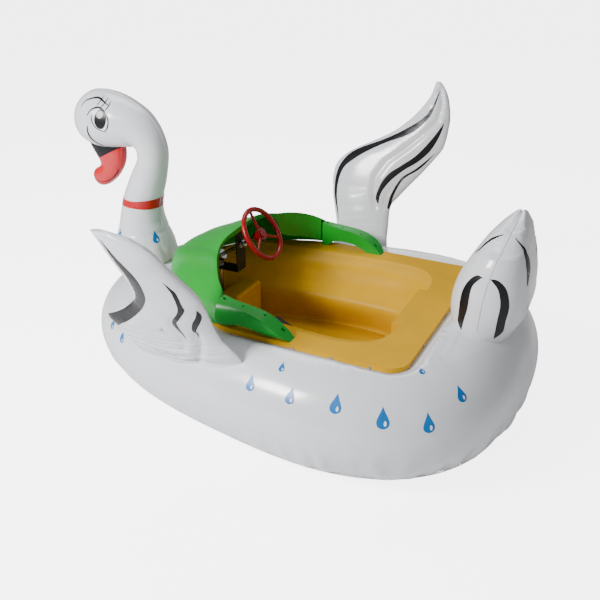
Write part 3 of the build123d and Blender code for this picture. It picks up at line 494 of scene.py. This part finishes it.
neck = neck_mesh()
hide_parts("swan_neck")
neck_path, neck_tangent = neck_frames()
for seam_name, seam_angle in (("back", 90), ("throat", 270)):
    line = [neck_point(neck_path, neck_tangent, i, math.radians(seam_angle), 0.8)
            for i in range(52, len(neck_path) - 4, 2)]
    seam_cord("neck_seam_" + seam_name, line, 2.2)

# X and Z of the beak's front and back edges in its side view, from the face down to the tip.
BEAK_TOP = [
    (1046, 905), (1022, 868), (1003, 838), (999, 818), (1014, 803), (1036, 790), (1049, 768), (1042, 741),
    (1022, 724), (1000, 719),
]
BEAK_LOW = [
    (868, 915), (868, 880), (874, 846), (886, 816), (903, 790), (924, 764), (948, 743), (968, 729),
    (984, 721), (1000, 719),
]
BEAK_HALF_WIDTHS = [(44,), (44,), (42,), (40,), (39,), (39,), (37,), (33,), (23,), (2,)]
BEAK_ROWS = 70
BEAK_COLUMNS = 48


def beak_mesh():
    """Lens sections between the two edges of the beak's side view."""
    top = smooth_table(BEAK_TOP, BEAK_ROWS)
    low = smooth_table(BEAK_LOW, BEAK_ROWS)
    half = smooth_table(BEAK_HALF_WIDTHS, BEAK_ROWS)[:, 0]
    rows = []
    for i in range(BEAK_ROWS):
        middle = (top[i] + low[i]) / 2
        reach = (top[i] - low[i]) / 2
        row = []
        for j in range(BEAK_COLUMNS):
            angle = 2 * math.pi * j / BEAK_COLUMNS
            c = math.copysign(abs(math.cos(angle)) ** 0.85, math.cos(angle))
            s = math.copysign(abs(math.sin(angle)) ** 0.85, math.sin(angle))
            row.append((middle[0] + reach[0] * c, half[i] * s, middle[1] + reach[1] * c))
        rows.append(row)
    points = put(np.array(rows).reshape(-1, 3))
    faces = grid_faces(BEAK_ROWS, BEAK_COLUMNS, cap=True)
    obj = new_piece("beak_skin", points, faces, RED_PVC)
    # The top of the beak, next to the face, is black above one straight edge.
    obj.data.materials.append(BLACK_PRINT)
    edge = Vector(put((1001, 0, 842)))
    rise = Vector((0.503, 0, 1)).normalized()
    work = bmesh.new()
    work.from_mesh(obj.data)
    geometry = work.verts[:] + work.edges[:] + work.faces[:]
    bmesh.ops.bisect_plane(work, geom=geometry, plane_co=edge, plane_no=rise)
    for face in work.faces:
        face.material_index = int((face.calc_center_median() - edge).dot(rise) > 0)
    work.to_mesh(obj.data)
    work.free()
    return obj


beak = beak_mesh()
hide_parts("beak")

# ---------------------------------------------------------------- wings

# Y and Z of the line that each wing stands on, and its lean out from upright in degrees.
# A groove is a line of (x, s), its depth and its width. A station is s up the wing, X at its front edge,
# X at its back edge, and half thickness.
WING_FOOT = (590.0, 380.0)
PORT = dict(
    name="port_wing", side=1, lean=25.0, grooves=[
        ([(62, 160), (66, 110), (88, 60), (120, -10)], 17.0, 15.0),
        ([(128, 240), (140, 200), (118, 150), (150, 60)], 6.0, 12.0),
    ],
    stations=[
        (-130, 400, -60, 30), (-20, 455, -60, 36), (26, 472, -55, 42), (80, 484, -30, 45),
        (113, 482, -8, 46),
        (170, 405, 2, 46), (231, 318, 4, 46), (275, 296, 6, 45), (321, 288, 14, 44), (380, 291, 50, 42),
        (435, 303, 84, 39), (490, 317, 112, 34), (521, 324, 140, 28), (549, 332, 190, 20),
        (570, 338, 262, 9),
    ])
STARBOARD = dict(
    name="starboard_wing", side=-1, lean=18.0, grooves=[
        ([(-278, 761), (-299, 704), (-291, 626), (-234, 556), (-173, 494), (-88, 419), (-47, 343),
          (-48, 272), (-67, 203)], 10.0, 12.0),
        ([(-300, 493), (-232, 420), (-160, 350), (-112, 270), (-100, 200)], 6.5, 10.0),
    ],
    stations=[
        (-80, 150, -160, 30), (0, 130, -150, 38), (60, 118, -136, 43), (120, 132, -132, 46),
        (219, 163, -128, 46),
        (270, 173, -160, 46), (325, 181, -200, 46), (392, 168, -252, 44), (450, 110, -292, 42),
        (503, 15, -326, 40), (545, -60, -336, 38), (582, -112, -339, 36), (650, -180, -338, 32),
        (726, -230, -318, 26), (770, -243, -294, 16), (800, -250, -268, 5),
    ])


def wing_axes(wing):
    lean = math.radians(wing["lean"])
    side = wing["side"]
    rise = np.array([0, side * math.sin(lean), math.cos(lean)])
    out = np.array([0, side * math.cos(lean), -math.sin(lean)])
    foot = np.array([0, side * WING_FOOT[0], WING_FOOT[1]])
    return foot, rise, out


def wing_mesh(wing, rows_count=170, half_columns=46):
    foot, rise, out = wing_axes(wing)
    table = smooth_table(wing["stations"], rows_count)
    columns = 2 * half_columns
    t = np.cos(np.arange(columns) * math.pi / half_columns)
    face = np.sign(np.sin(np.arange(columns) * math.pi / half_columns + 1e-9))
    height = table[:, 0][:, None] + 0 * t
    middle = (table[:, 1] + table[:, 2])[:, None] / 2
    half = (table[:, 1] - table[:, 2])[:, None] / 2
    x = middle + half * t
    profile = np.clip(1 - np.abs(t) ** 2.3, 0, 1) ** 0.62
    thick = table[:, 3][:, None] * profile
    spot = np.stack([x, height], axis=-1)
    for line, depth, width in wing["grooves"]:
        away = to_line(spot, line)
        thick = thick - depth * np.exp(-(away / width) ** 2) * profile
    edge = half * (1 - np.abs(t))
    for i in range(rows_count):
        s = table[i, 0]
        base = math.exp(-max(s - 10, 0) / 75)
        for j in range(columns):
            seed = 3.7 * face[j] + wing["side"]
            near = math.exp(-edge[i, j] / 34)
            pucker = crease(wave(s / 17, t[j] * 0.9, seed), 2.3) - 0.5
            pucker_x = crease(wave(x[i, j] / 20, s / 90, seed + 5), 2.3) - 0.5
            folds = crease(wave(s / 26 + x[i, j] / 160, x[i, j] / 210, seed + 2), 2.6) - 0.5
            soft = wave(x[i, j] / 85, s / 85, seed + 8)
            push = near * 4.2 * pucker + base * (10.0 * folds + 3.5 * pucker_x) + 2.4 * soft
            thick[i, j] += push * profile[j]
    thick = np.maximum(thick, 1.2 * (profile > 0.02))
    where = foot + x[..., None] * np.array([1, 0, 0]) + height[..., None] * rise
    where = where + (face * thick)[..., None] * out
    points = put(where.reshape(-1, 3))
    faces = grid_faces(rows_count, columns, cap=True)
    obj = new_piece(wing["name"] + "_skin", points, faces, WHITE)
    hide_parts(wing["name"])
    for column, label in ((0, "lead"), (half_columns, "trail")):
        line = [tuple(p) for p in where[18:, column][::2]]
        seam_cord(wing["name"] + "_seam_" + label, line, 1.7)
    return obj


port_wing = wing_mesh(PORT)
starboard_wing = wing_mesh(STARBOARD)

# ---------------------------------------------------------------- tail plume

# Height, centre X, half thickness and half width. The edge steps in above each feather tip.
TAIL = [
    (380, -757, 73, 123), (440, -760, 103, 164), (500, -768, 126, 187), (560, -773, 135, 197),
    (620, -778, 130, 198), (670, -785, 118, 192), (715, -793, 103, 180), (748, -799, 90, 167),
    (768, -803, 82, 152), (776, -805, 79, 137), (800, -811, 68, 122), (826, -818, 55, 106),
    (840, -822, 47, 94), (848, -824, 42, 78), (868, -829, 28, 54), (884, -833, 16, 27), (891, -834, 5, 7),
]


FEATHER_STEPS = (770, 843)


def tail_mesh(rows_count=170, columns=144):
    table = smooth_table(TAIL, rows_count)
    rows = []
    for i in range(rows_count):
        z, x, thick, half = table[i]
        row = []
        for j in range(columns):
            angle = 2 * math.pi * j / columns
            c, s = math.cos(angle), math.sin(angle)
            side = abs(s)
            # A lens with soft edges. The welded seam runs up each side.
            swell = max(1 - side ** 3.4, 0) ** 0.55
            px = math.copysign(thick * swell, c) if abs(c) > 1e-6 else 0
            near = math.exp(-(1 - side) * 9)
            push = near * 3.0 * (crease(wave(z / 15, math.copysign(3, c), s), 2.3) - 0.5)
            for step in FEATHER_STEPS:
                drop = (step - z)
                if -12 < drop < 95:
                    fan = math.exp(-abs(drop) / 42) * side ** 2
                    push -= 7.5 * fan * crease(wave(drop / 24 + 2.4 * side, s * 2.2, 6.6), 2.4) - 2.5 * fan
            push += 2.2 * wave(z / 70, s * 2, c * 2 + 4)
            base = math.exp(-((z - 445) / 34) ** 2)
            push += base * 2.4 * (crease(wave(angle * 4.6, z / 120, 1.4), 2.5) - 0.5)
            px += math.copysign(push, c) * min(swell * 1.6, 1)
            row.append((x + px, half * s, z - 10 * abs(s) ** 8 * (z > 760)))
        rows.append(row)
    grid = np.array(rows)
    points = put(grid.reshape(-1, 3))
    faces = grid_faces(rows_count, columns, cap=True)
    obj = new_piece("tail_skin", points, faces, WHITE)
    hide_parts("tail_plume")
    for column, label in ((columns // 4, "port"), (3 * columns // 4, "starboard")):
        line = [tuple(p) for p in grid[20:, column][::2]]
        seam_cord("tail_seam_" + label, line, 1.6)
    return obj


tail = tail_mesh()

# ---------------------------------------------------------------- prints


def surface_of(*objects):
    """A search tree over the given pieces, in the row frame."""
    verts, faces = [], []
    for obj in objects:
        start = len(verts)
        verts += [obj.matrix_world @ v.co for v in obj.data.vertices]
        faces += [[start + k for k in poly.vertices] for poly in obj.data.polygons]
    return BVHTree.FromPolygons(verts, faces)


def close_spline(line, steps=10):
    """A smooth closed line through points; a point given twice stays a sharp corner."""
    count = len(line)
    out = []
    for i in range(count):
        p0, p1, p2, p3 = (np.array(line[(i + k) % count], dtype=float) for k in (-1, 0, 1, 2))
        if np.allclose(p1, p2):
            continue
        if np.allclose(p0, p1):
            p0 = p1 - (p2 - p1) * 0.2
        if np.allclose(p3, p2):
            p3 = p2 + (p2 - p1) * 0.2
        for k in range(steps):
            f = k / steps
            out.append(0.5 * (2 * p1 + (p2 - p0) * f + (2 * p0 - 5 * p1 + 4 * p2 - p3) * f ** 2
                              + (3 * p1 - p0 - 3 * p2 + p3) * f ** 3))
    return np.array(out)


def printed(name, outline, tree, origin, right, up_axis, mat, proud=0.5, cell=5.0, spline=True):
    """A flat figure laid on a surface. outline is in millimetres along right and up_axis from origin."""
    line = close_spline(outline) if spline else np.array(outline, dtype=float)
    loop = [tuple(p) for p in line]
    flat = bpy.data.meshes.new(name)
    work = bmesh.new()
    corners = [work.verts.new((x, y, 0)) for x, y in loop]
    work.faces.new(corners).normal_update()
    bmesh.ops.triangulate(work, faces=work.faces[:], ngon_method="EAR_CLIP")
    low = line.min(0)
    high = line.max(0)
    for axis in (0, 1):
        step = low[axis] + cell
        while step < high[axis] - 0.1:
            normal = Vector((1, 0, 0)) if axis == 0 else Vector((0, 1, 0))
            geometry = work.verts[:] + work.edges[:] + work.faces[:]
            bmesh.ops.bisect_plane(work, geom=geometry, plane_co=normal * step, plane_no=normal)
            step += cell
    right = Vector(right).normalized()
    up_axis = Vector(up_axis).normalized()
    into = -right.cross(up_axis).normalized()
    start = Vector(put(origin))
    far = start - into * 1.0
    missed = []
    for vert in work.verts:
        aim = far + right * (vert.co.x / 1000) + up_axis * (vert.co.y / 1000)
        hit, normal = tree.ray_cast(aim, into, 2.0)[:2]
        if hit is None:
            missed.append(vert)
            continue
        if normal.dot(into) > 0:
            normal = -normal
        vert.co = hit + normal * (proud / 1000)
    bmesh.ops.delete(work, geom=missed, context="VERTS")
    work.to_mesh(flat)
    work.free()
    obj = bpy.data.objects.new(name, flat)
    bpy.context.scene.collection.objects.link(obj)
    flat.materials.append(mat)
    flat.shade_smooth()
    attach(obj, "hull")
    return obj


hull_tree = surface_of(hull)
neck_tree = surface_of(neck)
beak_tree = surface_of(beak)
tail_tree = surface_of(tail)
port_tree = surface_of(port_wing)
starboard_tree = surface_of(starboard_wing)

DROP = [
    (0, 40), (0, 40), (7, 22), (17, 2), (22, -14), (17, -29), (0, -36), (-17, -29), (-22, -14), (-17, 2),
    (-7, 22),
]
GLINT = [(7, -8), (12, -14), (12, -22), (7, -27), (3, -22), (3, -14)]
# Place, how the drop's tip leans sideways, size.
HULL_DROPS = [
    ((647, 451, 308), 0, 0.70), ((556, 507, 294), 8, 0.70), ((-120, 651, 358), 10, 0.78),
    ((-213, 597, 424), 14, 0.5),
    ((-281, 665, 362), 0, 0.78), ((-441, 651, 371), 0, 0.9), ((-596, 625, 346), 0, 0.97),
    ((-729, 557, 327), 0, 0.9), ((-796, 433, 389), 0, 0.78), ((-658, 451, 458), 20, 0.48),
]


def drop(name, place, lean, size, tree, out):
    """One printed drop with its white glint."""
    outward = Vector(out).normalized()
    right = Vector((0, 0, 1)).cross(outward)
    right = right.normalized()
    up_axis = outward.cross(right)
    turn = Matrix.Rotation(math.radians(lean), 3, outward)
    right = turn @ right
    up_axis = turn @ up_axis
    figure = [(x * size, y * size) for x, y in DROP]
    shine = [(x * size, y * size) for x, y in GLINT]
    printed(name, figure, tree, place, right, up_axis, BLUE_PRINT, proud=0.5)
    printed(name + "_glint", shine, tree, place, right, up_axis, WHITE_PRINT, proud=0.9, cell=8)


def hull_normal(place):
    angles = np.linspace(0, 2 * math.pi, 720)
    middles = [ring_point(a) for a in angles]
    near = min(middles, key=lambda m: (m.x - place[0]) ** 2 + (m.y - place[1]) ** 2)
    across = TUBE_RADIUS * TUBE_FLATNESS - TUBE_SINK
    return (place[0] - near.x, place[1] - near.y, place[2] - across)


count = 0
for place, lean, size in HULL_DROPS:
    for side in (1, -1):
        spot = (place[0], side * place[1], place[2])
        count += 1
        drop(f"drop_{count:02d}", spot, side * lean, size, hull_tree, hull_normal(spot))
NECK_DROP_TURNS = (61, 152, 243, 334)
NECK_DROP_AXIS_X = 803
NECK_DROP_RADIUS = 121
NECK_DROP_Z = 536
NECK_DROP_SIZE = 0.72
for k, turn in enumerate(NECK_DROP_TURNS):
    away = (math.cos(math.radians(turn)), math.sin(math.radians(turn)), 0)
    spot = (NECK_DROP_AXIS_X + NECK_DROP_RADIUS * away[0], NECK_DROP_RADIUS * away[1], NECK_DROP_Z)
    drop(f"neck_drop_{k}", spot, 0, NECK_DROP_SIZE, neck_tree, away)

PORT_STRIPES = [
    [(486, 110), (486, 110), (440, 74), (440, 74), (409, 107), (334, 165), (258, 239), (207, 310),
     (193, 362),
     (198, 419), (226, 469), (300, 556), (300, 556), (246, 429), (247, 366), (252, 321), (296, 253),
     (375, 183)],
    [(106, 418), (106, 418), (86, 373), (80, 317), (92, 280), (127, 235), (135, 205), (118, 155),
     (108, 130),
     (108, 130), (109, 160), (112, 222), (95, 248), (62, 293), (62, 317), (73, 372)],
    [(23, 294), (23, 294), (16, 262), (27, 233), (53, 189), (65, 135), (65, 135), (68, 188),
     (54, 230), (34, 262)],
]
STARBOARD_STRIPES = [
    [(106, 105), (106, 105), (136, 222), (142, 294), (124, 365), (82, 408), (22, 453), (-70, 506),
     (-163, 549),
     (-226, 601), (-265, 669), (-277, 765), (-277, 765), (-256, 686), (-220, 628), (-133, 565), (-41, 515),
     (56, 471), (114, 431), (152, 367), (162, 292), (150, 220)],
    [(-78, 220), (-78, 220), (-86, 277), (-123, 339), (-176, 393), (-231, 437), (-284, 499), (-314, 575),
     (-322, 640), (-322, 640), (-319, 620), (-280, 544), (-221, 464), (-159, 410), (-108, 366),
     (-78, 315), (-62, 251)],
    [(-125, 205), (-125, 205), (-143, 276), (-178, 351), (-247, 412), (-310, 497), (-310, 497), (-300, 485),
     (-229, 408), (-166, 355), (-130, 275), (-118, 216)],
]


def wing_prints(wing, stripes, tree):
    foot, rise = wing_axes(wing)[:2]
    for k, stripe in enumerate(stripes):
        for face in (1, -1):
            right = (face * wing["side"] * -1, 0, 0)
            figure = [(x * right[0], s) for x, s in stripe]
            name = f"{wing['name']}_stripe_{k}_{'out' if face > 0 else 'in'}"
            printed(name, figure, tree, foot, right, rise, BLACK_PRINT, proud=0.6, cell=7)


wing_prints(PORT, PORT_STRIPES, port_tree)
wing_prints(STARBOARD, STARBOARD_STRIPES, starboard_tree)

# Head prints, in the side view: X and Z, laid on both sides.
HEAD_ORIGIN = (900.0, 0.0, 1000.0)


def head_print(name, outline, mat, proud, spline=True, tree=None):
    for side in (1, -1):
        right = (-side, 0, 0)
        figure = [((x - HEAD_ORIGIN[0]) * -side, z - HEAD_ORIGIN[2]) for x, z in outline]
        label = name + ("_port" if side > 0 else "_starboard")
        printed(label, figure, tree or neck_tree, HEAD_ORIGIN, right, (0, 0, 1), mat,
                proud=proud, spline=spline)


def ellipse(x, z, a, b, tilt=0.0, steps=28):
    out = []
    for k in range(steps):
        t = 2 * math.pi * k / steps
        u, v = a * math.cos(t), b * math.sin(t)
        c, s = math.cos(math.radians(tilt)), math.sin(math.radians(tilt))
        out.append((x + u * c - v * s, z + u * s + v * c))
    return out


def stroke(line, widths):
    """A brush line of changing width, as a closed outline with sharp ends."""
    path = smooth_table(line, 28)
    wide = smooth_table([(w,) for w in widths], 28)[:, 0]
    way = np.gradient(path, axis=0)
    way /= np.linalg.norm(way, axis=1)[:, None]
    side = np.stack([-way[:, 1], way[:, 0]], axis=1) * (np.maximum(wide, 0.6) / 2)[:, None]
    return [tuple(p) for p in np.vstack([path + side, (path - side)[::-1]])]


head_print("eye_white", ellipse(889, 1038, 37, 50), WHITE_PRINT, proud=0.5)
head_print("eye_pupil", ellipse(887, 1043, 27, 40, 6), BLACK_PRINT, proud=0.9)
head_print("eye_glint", ellipse(890, 1061, 14, 15), GREY_PRINT, proud=1.2)
# Each brush line: its points in X and Z, and its width at each point.
FACE_LINES = {
    "eye_ring": ([(926, 1060), (926, 1036), (916, 1015), (898, 1000), (873, 993)], (3, 5, 5, 5, 3)),
    "eye_side": ([(872, 1072), (856, 1052), (852, 1029), (859, 1008), (873, 993)], (4, 5, 5, 5, 3)),
    "eye_lid": ([(949, 1054), (935, 1076), (911, 1087), (890, 1085), (872, 1072)], (4, 6, 7, 6, 4)),
    "mask": ([(951, 1012), (957, 985), (955, 959), (944, 936), (927, 919)], (4, 8, 10, 10, 8)),
    "brow": ([(992, 1080), (982, 1100), (966, 1112), (921, 1120), (867, 1097)], (2, 4, 5, 6, 3)),
}
for line_name, (line_path, line_widths) in FACE_LINES.items():
    head_print(line_name, stroke(line_path, line_widths), BLACK_PRINT, proud=0.9, spline=False)
for k, (x, z) in enumerate(((912, 1096), (890, 1090), (870, 1078))):
    head_print(f"lash_{k}", stroke([(x, z), (x - 7, z + 16), (x - 6, z + 32)], (3, 4, 1.5)), BLACK_PRINT,
               proud=0.9, spline=False)
MOUTH_LINE = [(1022, 748), (985, 741), (950, 752), (920, 776), (896, 806)]
head_print("beak_line", stroke(MOUTH_LINE, (1.5, 2.5, 3, 2.5, 1.5)), BLACK_PRINT,
           proud=0.6, spline=False, tree=beak_tree)

# Tail prints, in the side view: X and Z, laid on both sides.
TAIL_ORIGIN = (-790.0, 0.0, 640.0)
TAIL_PRINTS = {
    "tail_stripe_bow": [
        (-769, 694), (-769, 694), (-744, 696), (-719, 672), (-701, 635), (-695, 597), (-694, 546),
        (-693, 502), (-708, 468), (-708, 468), (-719, 529), (-727, 573), (-730, 633), (-736, 661),
        (-758, 689)],
    "tail_stripe_aft": [
        (-790, 696), (-790, 696), (-816, 694), (-841, 672), (-856, 636), (-862, 592), (-857, 546),
        (-850, 494), (-822, 458), (-822, 458), (-828, 510), (-831, 547), (-835, 598), (-830, 636),
        (-817, 669)],
}
TAIL_LINES = {
    "tail_line_bow": ([(-799, 826), (-772, 810), (-747, 787), (-712, 743)], (2, 5, 5, 2)),
    "tail_line_aft": ([(-839, 823), (-872, 782), (-892, 717), (-900, 655)], (2, 5, 5, 2)),
}


def tail_print(name, outline, spline=True):
    for side in (1, -1):
        figure = [((x - TAIL_ORIGIN[0]) * -side, z - TAIL_ORIGIN[2]) for x, z in outline]
        label = name + ("_port" if side > 0 else "_starboard")
        printed(label, figure, tail_tree, TAIL_ORIGIN, (-side, 0, 0),
        (0, 0, 1), BLACK_PRINT,
                proud=0.6, spline=spline)


for tail_name, tail_outline in TAIL_PRINTS.items():
    tail_print(tail_name, tail_outline)
for tail_name, (tail_path, tail_widths) in TAIL_LINES.items():
    tail_print(tail_name, stroke(tail_path, tail_widths), spline=False)

# Collar: a red band round the neck.


COLLAR_LOW = 665
COLLAR_HIGH = 695
COLLAR_WIDER_BEHIND = 7


def collar(steps=7):
    """Level at the throat and a little wider at the back of the neck."""
    low_part = [i for i in range(len(neck_path)) if 560 < neck_path[i][1] < 790 and neck_path[i][0] < 830]
    columns = []
    for j in range(NECK_ROUND):
        angle = 2 * math.pi * j / NECK_ROUND
        line = np.array([neck_point(neck_path, neck_tangent, i, angle, 2.0) for i in low_part])
        wider = COLLAR_WIDER_BEHIND * max(math.sin(angle), 0)
        levels = np.linspace(COLLAR_LOW - wider, COLLAR_HIGH + wider, steps)
        columns.append(np.stack([np.interp(levels, line[:, 2], line[:, 0]),
                                 np.interp(levels, line[:, 2], line[:, 1]), levels], axis=1))
    points = put(np.array(columns).transpose(1, 0, 2).reshape(-1, 3))
    return new_piece("collar", points, grid_faces(steps, NECK_ROUND), RED_PRINT)


collar()

# ---------------------------------------------------------------- floor

floor_mesh = bpy.data.meshes.new("floor")
floor_mesh.from_pydata([(-30, -30, 0), (30, -30, 0), (30, 30, 0), (-30, 30, 0)], [], [(0, 1, 2, 3)])
floor = bpy.data.objects.new("floor", floor_mesh)
bpy.context.scene.collection.objects.link(floor)
floor_mesh.materials.append(FLOOR)
